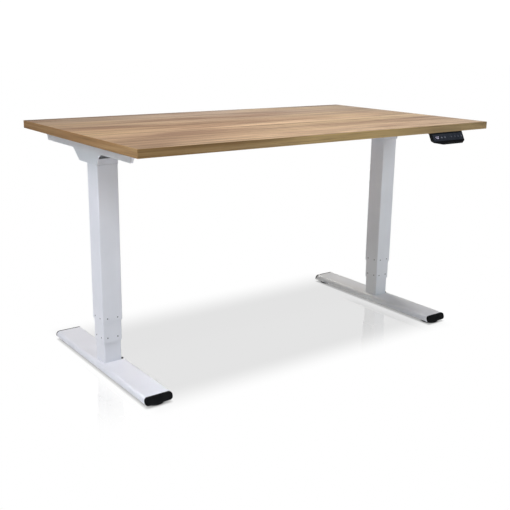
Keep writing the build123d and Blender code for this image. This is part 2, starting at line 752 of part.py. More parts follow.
with BuildPart() as control_board:      # circuit board with its sockets, transformer and capacitors
    board_length = control_length - 2 * control_wall
    with BuildSketch(level(board_top, control_x, control_y)):
        RectangleRounded(board_length, control_depth - 2 * control_wall - 2 * slide_gap, control_round)
    extrude(amount=-board_thickness)
    socket_drop = board_top - case_z
    with BuildSketch(level(board_top, control_x - (board_length - socket_depth) / 2, control_y)):
        with GridLocations(0, port_pitch, 1, 3):
            Rectangle(socket_depth, port_size[0])
    extrude(amount=-socket_drop - port_size[1] / 2)
    with BuildSketch(level(board_top, control_x + (board_length - socket_depth) / 2, control_y)):
        Rectangle(socket_depth, inlet_size[0])
    extrude(amount=-socket_drop - inlet_size[1] / 2)
    with BuildSketch(level(board_top, control_x, control_y)):
        with GridLocations(control_length / 8, control_depth / 4, 2, 3):
            Circle(control_depth / 12)
        with Locations((control_length / 4, 0)):
            Rectangle(control_length / 5, control_depth / 2)
    extrude(amount=-control_height / 2)
save(control_board, "control_board")

# ---------------------------------------------------------------- handset
lean_back, lean_up = sin(radians(face_lean)), cos(radians(face_lean))
face = Plane(origin=(handset_x, front_edge, underside - handset_nose), x_dir=(1, 0, 0),
             z_dir=(0, -lean_up, lean_back))
along_face = Plane(origin=face.origin, x_dir=(1, 0, 0), z_dir=(0, -lean_back, -lean_up))
half_handset, half_lip = handset_width / 2, lip_width / 2
flange_depth = panel_thickness + key_slack
plunger_end = cavity_depth - switch_board - key_slack - key_travel


def face_outline(margin):               # the face drawn in by margin
    with Locations((0, -face_length / 2)):
        Rectangle(handset_width - 2 * margin, face_length - 2 * margin)


def key_outline(name, extra, mode=Mode.ADD):
    u, v = key_places[name]
    with Locations((u, -v)):
        if name in ("up_key", "down_key"):
            across = arrow_key + 2 * extra
            RectangleRounded(across, across, arrow_key_round + extra, mode=mode)
        else:
            Circle(round_key + extra, mode=mode)


with BuildPart() as handset_housing:
    rear_y = handset_depth - handset_reach
    face_y, face_z = -face_length * lean_back, -handset_nose - face_length * lean_up
    with BuildSketch(facing_right(handset_x - half_handset, front_edge, underside)):
        with BuildLine():
            Polyline((0, 0), (0, -handset_nose), (face_y, face_z),
                     (-handset_reach, handset_lip - handset_drop), (-handset_reach, -handset_drop),
                     (rear_y, -handset_rear_drop), (rear_y, 0), close=True)
        make_face()
    extrude(amount=handset_width)
    with BuildSketch(level(underside, handset_x, front_edge)):         # cut corners of the lip, in plan
        with BuildLine():
            Polyline((-half_handset, rear_y), (-half_handset, face_y), (-half_lip, -handset_reach),
                     (half_lip, -handset_reach), (half_handset, face_y), (half_handset, rear_y), close=True)
        make_face()
    extrude(amount=-handset_drop, mode=Mode.INTERSECT)
    fillet(handset_housing.edges().filter_by(Axis.Z).group_by(Axis.Y)[0], lip_round)
    with BuildSketch(along_face):                                      # drawn in behind its ends
        half_rear = half_handset - handset_taper * (handset_depth - handset_slab)
        with BuildLine():
            Polyline((-half_handset, handset_depth), (half_handset, handset_depth),
                     (half_handset, -handset_slab), (half_rear, -handset_depth),
                     (-half_rear, -handset_depth), (-half_handset, -handset_slab), close=True)
        make_face()
    extrude(amount=handset_depth, both=True, mode=Mode.INTERSECT)
    with BuildSketch(level(underside, handset_x, front_edge + (rear_y + tab_width) / 2)):
        RectangleRounded(handset_width, rear_y + tab_width, bend_round)   # flange under the top
    extrude(amount=-sheet)
    with BuildSketch(face):                                            # seat of the panel
        face_outline(panel_margin)
    extrude(amount=-panel_thickness, mode=Mode.SUBTRACT)
    with BuildSketch(face):                                            # room for keys and board
        face_outline(panel_margin + panel_ledge)
    extrude(amount=-cavity_depth, mode=Mode.SUBTRACT)
    cut_holes([level(screw_seat)], handset_spots, wood_pass_radius, sheet)
save(handset_housing, "handset_housing")

with BuildPart() as handset_panel:
    with BuildSketch(face):
        face_outline(panel_margin + peg_gap)
        with Locations((window_place[0], -window_place[1])):
            Rectangle(*window_size, mode=Mode.SUBTRACT)
        for name in key_places:
            key_outline(name, key_gap, Mode.SUBTRACT)
    extrude(amount=-panel_thickness)
save(handset_panel, "handset_panel")

with BuildPart() as display_window:
    with BuildSketch(face):
        with Locations((window_place[0], -window_place[1])):
            Rectangle(window_size[0] - 2 * peg_gap, window_size[1] - 2 * peg_gap)
    extrude(amount=-panel_thickness)
save(display_window, "display_window")

with BuildPart() as handset_board:      # switch board on the housing's floor, display behind the window
    with BuildSketch(face.offset(-cavity_depth)):
        face_outline(panel_margin + panel_ledge + peg_gap)
    extrude(amount=switch_board)
    with BuildSketch(face.offset(-cavity_depth)):
        with Locations((window_place[0], -window_place[1])):
            Rectangle(*window_size)
    extrude(amount=cavity_depth - panel_thickness)
save(handset_board, "handset_board")

for name, place in key_places.items():
    with BuildPart() as key:
        with BuildSketch(face.offset(key_proud)):
            key_outline(name, 0)
        extrude(amount=-key_proud - flange_depth)
        fillet(key.faces().sort_by(Axis((0, 0, 0), face.z_dir))[-1].edges(), key_proud / 2)
        with BuildSketch(face.offset(-flange_depth)):
            key_outline(name, key_gap + key_shoulder)
        extrude(amount=-key_flange)
        with BuildSketch(face.offset(-flange_depth)):
            with Locations((place[0], -place[1])):
                Circle(plunger_radius)
        extrude(amount=flange_depth - plunger_end)
    save(key, name)
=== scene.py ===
import bpy
import bmesh
import json
import math
from mathutils import Euler, Matrix, Vector


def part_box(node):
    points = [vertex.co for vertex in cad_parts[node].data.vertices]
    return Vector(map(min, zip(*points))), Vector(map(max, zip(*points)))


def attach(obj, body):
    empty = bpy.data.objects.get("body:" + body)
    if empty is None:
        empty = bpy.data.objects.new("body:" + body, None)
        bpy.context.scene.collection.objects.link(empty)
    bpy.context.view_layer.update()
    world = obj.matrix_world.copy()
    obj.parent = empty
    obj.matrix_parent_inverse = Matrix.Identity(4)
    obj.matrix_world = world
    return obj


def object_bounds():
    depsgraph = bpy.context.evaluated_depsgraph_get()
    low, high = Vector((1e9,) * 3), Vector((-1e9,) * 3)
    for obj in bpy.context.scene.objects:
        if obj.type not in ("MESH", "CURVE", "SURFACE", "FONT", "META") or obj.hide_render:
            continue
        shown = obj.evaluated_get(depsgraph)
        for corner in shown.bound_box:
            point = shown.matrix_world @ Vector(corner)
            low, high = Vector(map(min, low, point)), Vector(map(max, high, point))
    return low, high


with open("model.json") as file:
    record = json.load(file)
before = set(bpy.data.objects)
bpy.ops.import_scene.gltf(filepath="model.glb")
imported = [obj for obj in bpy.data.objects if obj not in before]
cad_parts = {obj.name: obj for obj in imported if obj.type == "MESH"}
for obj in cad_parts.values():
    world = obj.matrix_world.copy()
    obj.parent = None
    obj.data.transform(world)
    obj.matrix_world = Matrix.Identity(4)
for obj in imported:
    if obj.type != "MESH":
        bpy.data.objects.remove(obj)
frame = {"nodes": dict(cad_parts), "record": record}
cadBox = [list(corner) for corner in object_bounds()]
nodes = frame["nodes"]
print("frame loaded:", len(nodes), "nodes")


# camera, all lengths in metres

cameraLook = {
    "place": (-1.6248, -2.1390, 1.0492),
    "turn": 36.80,      # degrees to the right of straight ahead
    "dip": 14.40,       # degrees below the horizon
    "roll": 0.905,      # degrees about the line of sight
    "lens": 54.83,
    "sensor": 36,
    "shift": (-0.00714, -0.03559),
    "farthest": 60,     # how far it draws
}


def makeCamera(look):
    data = bpy.data.cameras.new("deskCamera")
    data.lens = look["lens"]
    data.sensor_width = look["sensor"]
    data.shift_x, data.shift_y = look["shift"]
    data.clip_end = look["farthest"]
    camera = bpy.data.objects.new("deskCamera", data)
    bpy.context.collection.objects.link(camera)
    camera.rotation_mode = "QUATERNION"
    level = Euler((math.radians(90 - look["dip"]), 0, math.radians(-look["turn"]))).to_quaternion()
    lean = Euler((0, 0, math.radians(look["roll"]))).to_quaternion()
    camera.rotation_quaternion = level @ lean
    camera.location = look["place"]
    bpy.context.scene.camera = camera


makeCamera(cameraLook)
print("camera placed")


# material building blocks

class Recipe:
    def __init__(self, name):
        self.mat = bpy.data.materials.new(name)
        self.mat.use_nodes = True
        self.tree = self.mat.node_tree
        self.shader = self.tree.nodes["Principled BSDF"]
        self.coords = self.tree.nodes.new("ShaderNodeTexCoord").outputs["Object"]
        self.relief = None

    def add(self, kind, settings=None, **inputs):
        node = self.tree.nodes.new(kind)
        for key, value in (settings or {}).items():
            setattr(node, key, value)
        for key, value in inputs.items():
            self.feed(node.inputs[key.replace("_", " ")], value)
        return node

    def feed(self, socket, value):
        if isinstance(value, bpy.types.NodeSocket):
            self.tree.links.new(value, socket)
        else:
            socket.default_value = value

    def stretch(self, scale, place=(0, 0, 0)):      # object coordinates, scaled per axis
        node = self.add("ShaderNodeMapping", Vector=self.coords)
        node.inputs["Scale"].default_value = scale
        node.inputs["Location"].default_value = place
        return node.outputs["Vector"]

    def noise(self, scale, place=(0, 0, 0), detail=3, rough=0.5, warp=0.0):     # scale: waves a metre
        node = self.add("ShaderNodeTexNoise", Vector=self.stretch(scale, place), Scale=1.0,
                        Detail=detail, Roughness=rough, Distortion=warp)
        return node.outputs["Fac"]

    def ramp(self, value, stops):       # stops: position, then a colour or a grey
        node = self.add("ShaderNodeValToRGB", Fac=value)
        band = node.color_ramp
        while len(band.elements) < len(stops):
            band.elements.new(0.5)
        for element, (position, colour) in zip(band.elements, stops):
            element.position = position
            element.color = (colour, colour, colour, 1) if isinstance(colour, float) else colour
        return node.outputs["Color"]

    def range(self, value, low, high, fromLow=0.0, fromHigh=1.0):
        node = self.add("ShaderNodeMapRange", Value=value)
        node.inputs["From Min"].default_value = fromLow
        node.inputs["From Max"].default_value = fromHigh
        node.inputs["To Min"].default_value = low
        node.inputs["To Max"].default_value = high
        return node.outputs["Result"]

    def math(self, how, a, b=0.0):
        node = self.add("ShaderNodeMath", {"operation": how})
        self.feed(node.inputs[0], a)
        self.feed(node.inputs[1], b)
        return node.outputs["Value"]

    def mix(self, how, amount, a, b):
        node = self.add("ShaderNodeMix", {"data_type": "RGBA", "blend_type": how})
        self.feed(node.inputs["Factor"], amount)
        self.feed(node.inputs[6], a)        # sockets 6 and 7 take its colours, output 2 gives one
        self.feed(node.inputs[7], b)
        return node.outputs[2]

    def bump(self, height, strength, depth):        # stacks on the relief made before it
        node = self.add("ShaderNodeBump", Height=height, Strength=strength, Distance=depth)
        if self.relief:
            self.tree.links.new(self.relief, node.inputs["Normal"])
        self.relief = node.outputs["Normal"]

    def finish(self, colour, roughness, metallic=0.0, **extra):
        self.feed(self.shader.inputs["Base Color"], colour)
        self.feed(self.shader.inputs["Roughness"], roughness)
        self.shader.inputs["Metallic"].default_value = metallic
        for key, value in extra.items():
            self.shader.inputs[key.replace("_", " ")].default_value = value
        if self.relief:
            self.tree.links.new(self.relief, self.shader.inputs["Normal"])
        return self.mat


def shade(red, green, blue):        # screen colour, 0 to 255, to linear light
    linear = [((c / 255 + 0.055) / 1.055) ** 2.4 if c > 10 else c / 255 / 12.92 for c in (red, green, blue)]
    return (*linear, 1)


def dim(tone, share):
    return (*(c * share for c in tone[:3]), 1)


def runWith(axis, along, across):       # a noise's scale, with its long way on one axis
    scale = list(across)
    scale[axis] = along
    return scale


# studio: white floor with a soft shade under the desk, white surround, big soft lights

studio = {
    "floorSize": 60.0,
    "floorWhite": 0.92,     # the floor as it lights the desk
    "floorRough": 0.6,
    "shade": 0.232,         # how much darker the floor is under the desk
    "shadeHalfWidth": (0.61, 0.655),        # where the shade is full, and where it has gone
    "shadeFront": (-0.212, -0.372),
    "shadeRear": (0.25, 0.49),
    "contact": 0.0115,      # reach of the painted contact shade round what stands on the floor
    "contactSamples": 12,
    "polish": 0.2,          # share of the floor's mirror image
    "polishFront": (-0.10, -0.38),          # full, and gone
    "polishRear": (0.02, 0.14),
    "polishWide": (0.74, 0.90),
    "polishFeet": (0.115, 0.05),            # from each foot's middle line
    "surround": 1.05,       # what the camera sees behind the floor
    "fill": 0.12,           # what lights the desk from all round
}
lamps = {       # name: place, aims at, width, height, watts, spread in degrees, colour
    "keySoftbox": ((2.4, -3.8, 2.6), (0.5, 0.0, 0.4), 2.2, 1.4, 67, 180, (0.90, 0.98, 1.0)),
    "highLeftSoftbox": ((-2.6, -0.7, 3.9), (-0.6, -0.1, 0.3), 1.8, 1.6, 101, 180, (1.0, 0.94, 0.98)),
    "lowLeftSoftbox": ((-3.6, -0.6, 2.3), (-0.6, 0.0, 0.4), 1.6, 1.2, 28.5, 180, (0.82, 0.98, 1.0)),
    "rightSoftbox": ((3.0, 0.6, 3.2), (0.6, 0.1, 0.3), 1.8, 1.6, 14, 180, (1.0, 0.86, 0.80)),
    "backSoftbox": ((1.1, 3.0, 4.2), (0.8, 0.2, 0.3), 1.4, 1.2, 7.5, 44, (1.0, 0.96, 0.86)),
    "footSoftbox": ((-1.5, -1.5, 2.4), (-0.52, -0.42, 0.0), 0.4, 0.4, 0.30, 12, (0.92, 0.98, 1.0)),
    "overheadSoftbox": ((0.25, 0.1, 2.4), (0.25, 0.1, 0.8), 1.3, 0.8, 11, 180, (0.97, 0.98, 1.0)),
}
unmirrored = ("lowLeftSoftbox", "keySoftbox", "rightSoftbox", "footSoftbox")        # not in the polish


def fadeOut(r, amount, look, edges):        # less of the amount towards each edge, softly
    for value, edge in edges:
        full, gone = look[edge]
        node = r.add("ShaderNodeMapRange", {"interpolation_type": "SMOOTHSTEP"}, Value=value)
        node.inputs["From Min"].default_value = gone
        node.inputs["From Max"].default_value = full
        amount = r.math("MULTIPLY", node.outputs["Result"], amount)
    return amount


def floorWhite(look):       # the camera sees white with a painted shade under the desk and a painted contact shade round what stands on it; the desk is lit by a matt white floor
    r = Recipe("studioFloorWhite")
    link = r.tree.links.new
    place = r.add("ShaderNodeSeparateXYZ", Vector=r.coords)
    depth = place.outputs["Y"]
    across = r.math("ABSOLUTE", place.outputs["X"])
    shaded = fadeOut(r, -look["shade"], look, (
        (depth, "shadeFront"), (depth, "shadeRear"), (across, "shadeHalfWidth")))
    samples = {"samples": look["contactSamples"]}
    near = r.add("ShaderNodeAmbientOcclusion", samples, Distance=look["contact"])
    level = r.math("MULTIPLY", r.math("ADD", shaded, 1.0), near.outputs["AO"])
    glow = r.add("ShaderNodeEmission", Strength=level)
    mirror = r.add("ShaderNodeBsdfGlossy", Color=level, Roughness=0.0)
    footMiddle = sum(corner[0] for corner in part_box("right_foot")) / 2
    beside = r.math("ABSOLUTE", r.math("SUBTRACT", across, footMiddle))
    polish = fadeOut(r, look["polish"], look, (
        (depth, "polishFront"), (depth, "polishRear"), (across, "polishWide"), (beside, "polishFeet")))
    seen = r.add("ShaderNodeMixShader", Fac=polish)
    link(glow.outputs[0], seen.inputs[1])
    link(mirror.outputs[0], seen.inputs[2])
    ray = r.add("ShaderNodeLightPath")
    choose = r.add("ShaderNodeMixShader", Fac=ray.outputs["Is Camera Ray"])
    link(r.shader.outputs[0], choose.inputs[1])
    link(seen.outputs[0], choose.inputs[2])
    link(choose.outputs[0], r.tree.nodes["Material Output"].inputs["Surface"])
    return r.finish((look["floorWhite"],) * 3 + (1,), look["floorRough"])


def makeFloor(look):
    bm = bmesh.new()
    bmesh.ops.create_grid(bm, x_segments=2, y_segments=2, size=look["floorSize"] / 2)
    mesh = bpy.data.meshes.new("studioFloor")
    bm.to_mesh(mesh)
    bm.free()
    mesh.materials.append(floorWhite(look))
    floor = bpy.data.objects.new("studioFloor", mesh)
    bpy.context.collection.objects.link(floor)


def makeSurround(look):
    world = bpy.data.worlds.new("studioSurround")
    bpy.context.scene.world = world
    world.use_nodes = True
    tree = world.node_tree
    link = tree.links.new
    lights = tree.nodes["Background"]
    backdrop = tree.nodes.new("ShaderNodeBackground")
    for background, strength in ((lights, look["fill"]), (backdrop, look["surround"])):
        background.inputs["Color"].default_value = (1, 1, 1, 1)
        background.inputs["Strength"].default_value = strength
    ray = tree.nodes.new("ShaderNodeLightPath")
    either = tree.nodes.new("ShaderNodeMath")       # seen straight on, or in the polished floor
    either.operation = "MAXIMUM"
    choose = tree.nodes.new("ShaderNodeMixShader")
    link(ray.outputs["Is Camera Ray"], either.inputs[0])
    link(ray.outputs["Is Singular Ray"], either.inputs[1])
    link(either.outputs[0], choose.inputs["Fac"])
    link(lights.outputs[0], choose.inputs[1])
    link(backdrop.outputs[0], choose.inputs[2])
    link(choose.outputs[0], tree.nodes["World Output"].inputs["Surface"])


def makeLamps(plan):
    for name, (place, aim, width, height, watts, spread, colour) in plan.items():
        data = bpy.data.lights.new(name, "AREA")
        data.shape = "RECTANGLE"
        data.size, data.size_y = width, height
        data.energy = watts
        data.spread = math.radians(spread)
        data.color = colour
        lamp = bpy.data.objects.new(name, data)
        bpy.context.collection.objects.link(lamp)
        lamp.location = place
        lamp.rotation_mode = "QUATERNION"
        lamp.rotation_quaternion = (Vector(aim) - Vector(place)).to_track_quat("-Z", "Y")
        lamp.visible_glossy = name not in unmirrored


makeFloor(studio)
makeSurround(studio)
makeLamps(lamps)
bpy.context.scene.view_settings.view_transform = "Standard"
print("studio set")


# oak print of the top
# noises: scale along, across and through the board; spans: share from and to, over which noise

oakLook = {
    "reach": (0.7, 0.4),    # how far from the middle the tones below run, along and across
    "boards": [             # place across the grain from front to rear, then the board tones with painted light and shade mixed in; the last stop darkens the rear edge
        (0.00, shade(228, 200, 167)), (0.07, shade(228, 200, 168)), (0.15, shade(216, 187, 156)),
        (0.24, shade(208, 179, 148)), (0.33, shade(212, 183, 152)), (0.40, shade(226, 196, 163)),
        (0.46, shade(217, 187, 155)), (0.52, shade(198, 168, 136)), (0.58, shade(202, 173, 143)),
        (0.66, shade(191, 166, 141)), (0.78, shade(183, 160, 139)), (0.86, shade(185, 164, 145)),
        (0.98, shade(188, 170, 154)), (1.00, shade(118, 102, 88)),
    ],
    "wave": {"scale": (1.4, 6.0, 1)},
    "wander": 0.035,        # how far the boards' edges wave
    "drift": [              # painted light and shade from the left end to the right: darker and browner at the left, lightest in the middle, darker and cooler at the right
        (0.0, (0.84, 0.78, 0.69, 1)), (0.3, (0.95, 0.89, 0.81, 1)), (0.6, (1.0, 0.98, 0.96, 1)),
        (0.8, (0.97, 0.97, 0.98, 1)), (1.0, (0.86, 0.90, 0.97, 1)),
    ],
    "patch": {"scale": (1.5, 12.0, 1), "place": (3.95, 2.45, 0), "warp": 0.4},
    "mauve": shade(160, 128, 106),
    "mauveSpan": (0.0, 0.80, 0.51, 0.66),
    "honey": shade(216, 190, 150),
    "honeySpan": (0.60, 0.0, 0.34, 0.48),
    "heartPitch": 0.27,     # from one board's heart line to the next
    "heartStart": 10.12,    # where they start, far enough out to count upwards
    "heartSide": 0.03,      # from the line to the middle of the rings
    "heartDepth": 0.012,    # how deep that lies at the middle of the top
    "ringPitch": 0.0085,    # growth rings cut along the board
    "ringSlope": 0.045,     # how fast the heart dips along it
    "ringSpan": (0.0, 0.50, 0.20, 0.5),
    "shake": {"scale": (5.0, 34.0, 1), "place": (0, 2, 0)},
    "shakeRings": 2.2,      # how many rings the shake shifts them by
    "figured": {"scale": (1.8, 9.0, 1), "place": (8, 3, 0), "detail": 2},
    "figuredSpan": (0.0, 1.0, 0.42, 0.56),
    "vein": {"scale": (2.4, 105.0, 1), "place": (3, 5, 0), "detail": 4, "rough": 0.65, "warp": 0.1},
    "veinTones": [(0.38, 0.68), (0.50, 1.0), (0.62, 1.12)],
    "streak": {"scale": (1.5, 58.0, 1), "place": (0, 7, 0), "detail": 5, "rough": 0.62, "warp": 0.1},
    "streakSpan": (0.0, 0.75, 0.52, 0.66),
    "dark": shade(126, 97, 76),
    "grain": {"scale": (3.0, 300.0, 1), "place": (2, 0, 0), "rough": 0.6},
    "grainTones": [(0.30, 0.72), (0.50, 1.0), (0.70, 1.06)],
    "fibre": {"scale": (24.0, 800.0, 1), "detail": 2, "rough": 0.6},
    "poreSpan": (1.0, 0.0, 0.28, 0.40),
    "poreShare": 0.40,
    "pore": shade(112, 84, 64),
    "relief": (0.35, 0.00015),      # strength and depth
    "rough": (0.42, 0.60),
    "gloss": 0.35,
}


def oakTop(look):
    r = Recipe("oakLaminate")
    reachX, reachY = look["reach"]
    place = r.add("ShaderNodeSeparateXYZ", Vector=r.coords)
    wave = r.range(r.noise(**look["wave"]), -look["wander"], look["wander"])
    across = r.math("ADD", place.outputs["Y"], wave)
    colour = r.ramp(r.range(across, 0.0, 1.0, -reachY, reachY), look["boards"])

    patch = r.noise(**look["patch"])
    colour = r.mix("MIX", r.range(patch, *look["mauveSpan"]), colour, look["mauve"])
    colour = r.mix("MIX", r.range(patch, *look["honeySpan"]), colour, look["honey"])

    halfBoard = r.math("PINGPONG", r.math("ADD", across, look["heartStart"]), look["heartPitch"] / 2)
    heart = r.math("SUBTRACT", halfBoard, look["heartSide"])
    depth = r.math("ADD", r.math("MULTIPLY", place.outputs["X"], look["ringSlope"]), look["heartDepth"])
    radius = r.math("SQRT", r.math("ADD", r.math("POWER", heart, 2.0), r.math("POWER", depth, 2.0)))
    shake = r.math("MULTIPLY", r.noise(**look["shake"]), look["shakeRings"])
    ring = r.math("PINGPONG", r.math("ADD", r.math("DIVIDE", radius, look["ringPitch"]), shake), 0.5)
    figured = r.range(r.noise(**look["figured"]), *look["figuredSpan"])
    figure = r.math("MULTIPLY", r.range(ring, *look["ringSpan"]), figured)
    colour = r.mix("MIX", figure, colour, look["mauve"])

    colour = r.mix("MULTIPLY", 1.0, colour, r.ramp(r.noise(**look["vein"]), look["veinTones"]))
    streak = r.range(r.noise(**look["streak"]), *look["streakSpan"])
    colour = r.mix("MIX", streak, colour, look["dark"])
    colour = r.mix("MULTIPLY", 1.0, colour, r.ramp(r.noise(**look["grain"]), look["grainTones"]))
    # painted light and shade along the top, from the left end to the right
    along = r.range(place.outputs["X"], 0.0, 1.0, -reachX, reachX)
    colour = r.mix("MULTIPLY", 1.0, colour, r.ramp(along, look["drift"]))

    pores = r.range(r.noise(**look["fibre"]), *look["poreSpan"])
    colour = r.mix("MIX", r.math("MULTIPLY", pores, look["poreShare"]), colour, look["pore"])
    r.bump(r.math("MULTIPLY", pores, -1.0), *look["relief"])
    return r.finish(colour, r.range(pores, *look["rough"]), Specular_IOR_Level=look["gloss"])


# oak edge bands, board core and backing

bandLook = {
    "reach": 0.7,
    "longToneAndLight": [          # along the front and rear bands from left to right: the band's brown with painted light, brighter in the middle and darker at both ends
        (0.00, shade(146, 114, 70)), (0.22, shade(144, 112, 70)), (0.42, shade(192, 163, 112)),
        (0.62, shade(191, 162, 111)), (0.80, shade(160, 134, 96)), (0.92, shade(166, 142, 101)),
        (1.00, shade(136, 113, 79)),
    ],
    "shortTones": [         # along the left and right bands from front to rear
        (0.20, shade(164, 128, 84)), (0.50, shade(156, 119, 78)), (0.80, shade(142, 108, 70)),
    ],
    "tone": {"rough": 0.55, "warp": 0.5},
    "toneScale": (1.6, (40.0, 40.0, 70.0)),         # along the band, then on the three axes
    "pale": shade(190, 160, 116),
    "paleSpan": (0.0, 0.45, 0.52, 0.66),
    "dark": shade(84, 64, 42),
    "darkSpan": (0.42, 0.0, 0.34, 0.48),
    "line": {"place": (1, 4, 2), "detail": 4, "rough": 0.6, "warp": 0.2},
    "lineScale": (4.0, (240.0, 240.0, 240.0)),
    "lineSpan": (1.0, 0.0, 0.34, 0.50),
    "lineShare": 0.34,
    "relief": (0.25, 0.0001),
    "rough": (0.50, 0.40),
    "gloss": 0.4,
}


def oakBand(name, look, axis, tones):       # axis: 0 for bands along X, 1 for bands along Y
    r = Recipe(name)
    place = r.add("ShaderNodeSeparateXYZ", Vector=r.coords)
    colour = r.ramp(r.range(place.outputs[axis], 0.0, 1.0, -look["reach"], look["reach"]), tones)
    tone = r.noise(runWith(axis, *look["toneScale"]), **look["tone"])
    line = r.noise(runWith(axis, *look["lineScale"]), **look["line"])
    colour = r.mix("MIX", r.range(tone, *look["paleSpan"]), colour, look["pale"])
    colour = r.mix("MIX", r.range(tone, *look["darkSpan"]), colour, look["dark"])
    lines = r.math("MULTIPLY", r.range(line, *look["lineSpan"]), look["lineShare"])
    colour = r.mix("MIX", lines, colour, look["dark"])
    r.bump(line, *look["relief"])
    return r.finish(colour, r.range(line, *look["rough"]), Specular_IOR_Level=look["gloss"])


chipLook = {
    "chips": (160, 160, 420),
    "tones": [(0.1, shade(150, 118, 78)), (0.5, shade(196, 164, 116)), (0.9, shade(222, 196, 150))],
    "relief": (0.6, 0.0006),
    "rough": 0.85,
}


def chipboard(look):
    r = Recipe("chipboard")
    chips = r.add("ShaderNodeTexVoronoi", {"feature": "F1"}, Vector=r.stretch(look["chips"]), Scale=1.0)
    r.bump(chips.outputs["Distance"], *look["relief"])
    return r.finish(r.ramp(chips.outputs["Color"], look["tones"]), look["rough"])


sheetLook = {
    "mottle": {"scale": (14, 40, 30), "place": (2, 5, 0), "detail": 5, "rough": 0.6},
    "tones": [(0.3, shade(184, 164, 136)), (0.7, shade(198, 178, 149))],
    "grain": {"scale": (8, 260, 1), "place": (6, 0, 0), "rough": 0.6},
    "grainTones": [(0.34, 0.90), (0.54, 1.0)],
    "tooth": {"scale": (900, 900, 900), "detail": 2},
    "relief": (0.2, 0.0001),
    "rough": (0.66, 0.60),
}


def backingSheet(look):         # plain matt balance sheet under the board
    r = Recipe("backingSheet")
    grain = r.noise(**look["grain"])
    colour = r.ramp(r.noise(**look["mottle"]), look["tones"])
    colour = r.mix("MULTIPLY", 1.0, colour, r.ramp(grain, look["grainTones"]))
    r.bump(r.noise(**look["tooth"]), *look["relief"])
    return r.finish(colour, r.range(grain, *look["rough"]))


# powder coat, bare metals and plastics

paintLook = {
    "drift": {"scale": (7, 7, 7), "detail": 2},
    "driftFrom": (0.35, 0.65),      # where the darker tone ends, and the paler one starts
    "grain": {"scale": (1100, 1100, 1100), "rough": 0.6},
    "relief": (0.22, 0.0001),
    "rough": (0.36, 0.50),
    "gloss": 0.45,
}


def powderCoat(name, pale, dark, look):
    r = Recipe(name)
    grain = r.noise(**look["grain"])
    colour = r.ramp(r.noise(**look["drift"]), list(zip(look["driftFrom"], (dark, pale))))
    r.bump(grain, *look["relief"])
    return r.finish(colour, r.range(grain, *look["rough"]), Specular_IOR_Level=look["gloss"])


steelLook = {
    "brush": (15.0, (900.0, 900.0, 900.0)),         # along the brush marks, then on the three axes
    "brushRough": 0.65,
    "patch": {"scale": (35, 35, 35), "detail": 4, "rough": 0.6},
    "dimShare": 0.82,
    "dimFrom": (0.3, 0.7),
    "relief": (0.25, 0.00008),
    "roughSpread": (-0.08, 0.1),
}


def steel(name, tone, rough, brushAlong, look):
    r = Recipe(name)
    brush = r.noise(runWith(brushAlong, *look["brush"]), rough=look["brushRough"])
    tones = (dim(tone, look["dimShare"]), tone)
    colour = r.ramp(r.noise(**look["patch"]), list(zip(look["dimFrom"], tones)))
    r.bump(brush, *look["relief"])
    return r.finish(colour, r.range(brush, *(rough + spread for spread in look["roughSpread"])), 1.0)


screwLook = {
    "lead": 0.004,          # drawn pitch of the thread
    "flank": 2.5,           # the lead over the thread's depth
    "smear": {"scale": (120, 120, 40), "detail": 4, "rough": 0.6},
    "dimShare": 0.75,
    "dimFrom": (0.3, 0.7),
    "rough": (0.22, 0.42),
}


def screwSteel(name, tone, centre, look):       # turned thread, drawn round each column's axis
    r = Recipe(name)
    split = r.add("ShaderNodeSeparateXYZ", Vector=r.coords)
    side = r.math("SUBTRACT", r.math("ABSOLUTE", split.outputs["X"]), centre[0])
    depth = r.math("SUBTRACT", split.outputs["Y"], centre[1])
    turn = r.math("DIVIDE", r.math("ARCTAN2", depth, side), 2 * math.pi)
    phase = r.math("FRACT", r.math("ADD", r.math("DIVIDE", split.outputs["Z"], look["lead"]), turn))
    r.bump(r.math("PINGPONG", phase, 0.5), 1.0, look["lead"] / look["flank"])
    smear = r.noise(**look["smear"])
    tones = (dim(tone, look["dimShare"]), tone)
    return r.finish(r.ramp(smear, list(zip(look["dimFrom"], tones))), r.range(smear, *look["rough"]), 1.0)


castLook = {
    "blast": {"scale": (650, 650, 650), "detail": 4, "rough": 0.7},
    "cloud": {"scale": (45, 45, 45)},
    "tones": [(0.3, shade(176, 178, 181)), (0.7, shade(204, 206, 208))],
    "relief": (0.5, 0.00025),
    "rough": (0.45, 0.65),
    "metal": 0.35,
}


def casting(look):
    r = Recipe("castAluminium")
    blast = r.noise(**look["blast"])
    colour = r.ramp(r.noise(**look["cloud"]), look["tones"])
    r.bump(blast, *look["relief"])
    return r.finish(colour, r.range(blast, *look["rough"]), look["metal"])


mouldLook = {
    "spark": 1500.0,        # spark-eroded grain of the mould, in waves a metre
    "sparkRough": 0.6,
    "relief": 0.3,
    "depth": 0.0001,
    "wipe": {"scale": (26, 26, 26), "detail": 4, "rough": 0.55},
    "wipeFrom": (0.3, 0.7),
    "roughSpread": (-0.05, 0.07),
    "gloss": 0.2,
}


def moulded(name, pale, dark, rough, **changes):
    look = {**mouldLook, **changes}
    r = Recipe(name)
    spark = r.noise((look["spark"],) * 3, rough=look["sparkRough"])
    wipe = r.noise(**look["wipe"])
    colour = r.ramp(wipe, list(zip(look["wipeFrom"], (dark, pale))))
    r.bump(spark, look["relief"], look["depth"])
    rough = r.range(wipe, *(rough + spread for spread in look["roughSpread"]))
    return r.finish(colour, rough, Specular_IOR_Level=look["gloss"])


boardLook = {
    "tracks": (260, 260, 260),
    "trackWidth": 0.06,
    "mask": (shade(24, 92, 56), shade(20, 80, 48)),
    "track": shade(58, 132, 88),
    "relief": (0.3, 0.0001),
    "rough": 0.35,
}


